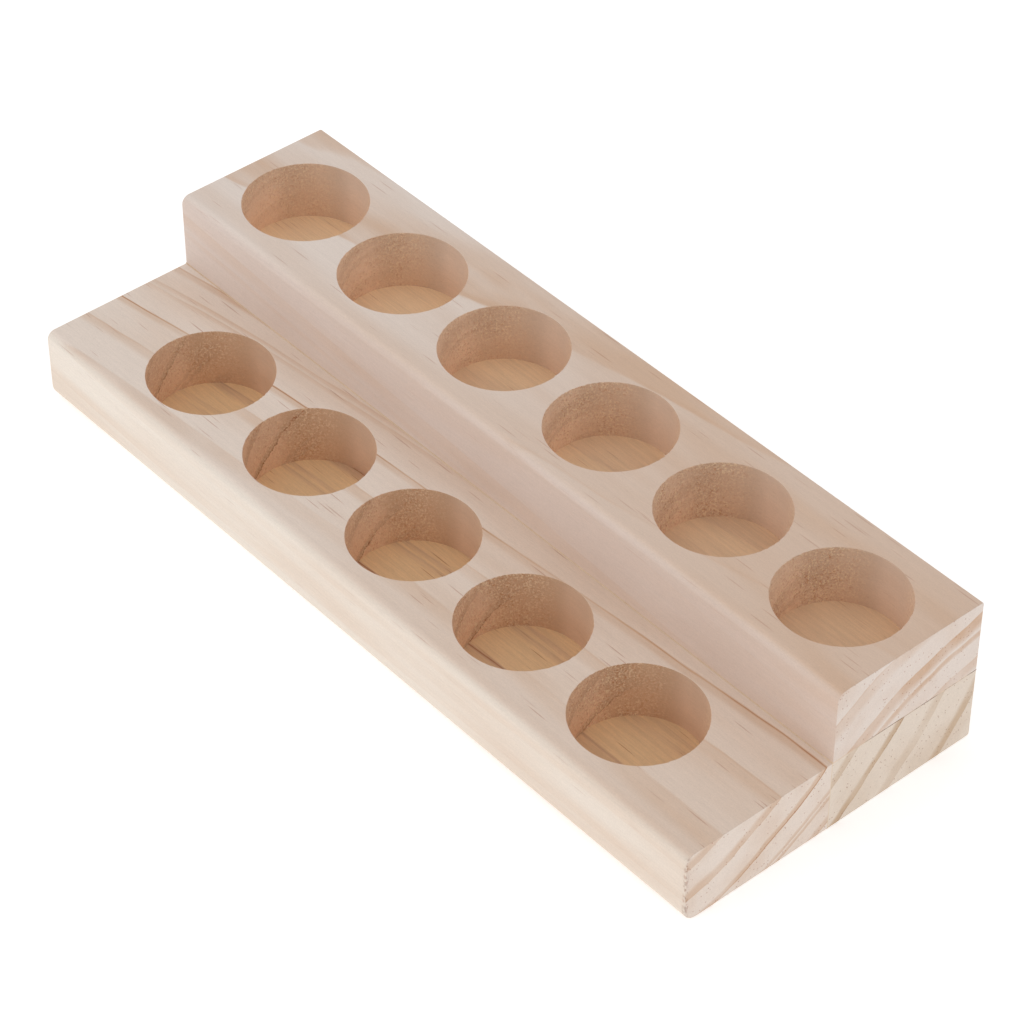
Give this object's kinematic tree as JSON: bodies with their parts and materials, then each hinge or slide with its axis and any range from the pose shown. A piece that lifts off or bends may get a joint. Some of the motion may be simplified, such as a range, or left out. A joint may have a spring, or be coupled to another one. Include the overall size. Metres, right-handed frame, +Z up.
{
  "type": "paint rack organizer",
  "caption": "Solid pine two-tier bench rack of three glued staves, with a low front row and a raised rear row of round flat-bottomed sockets for hobby paint jars.",
  "frame": {"origin": "middle of the rack's flat underside", "axes": "+X along the rack to its right-hand end seen from the front, -Y towards the low front tier, +Z up"},
  "size_m": [0.255, 0.096, 0.045],
  "materials": {
    "front_pine": "planed and lightly sanded bare pine, matt",
    "rear_pine": "planed and lightly sanded bare pine, matt",
    "upper_pine": "planed and lightly sanded bare pine, matt",
    "dried_glue": "dried wood glue, a thin tan line"
  },
  "bodies": {
    "root": {"front_stave": "front_pine", "rear_stave": "rear_pine", "upper_stave": "upper_pine", "edge_glue_film": "dried_glue", "face_glue_film": "dried_glue"}
  },
  "joints": []
}
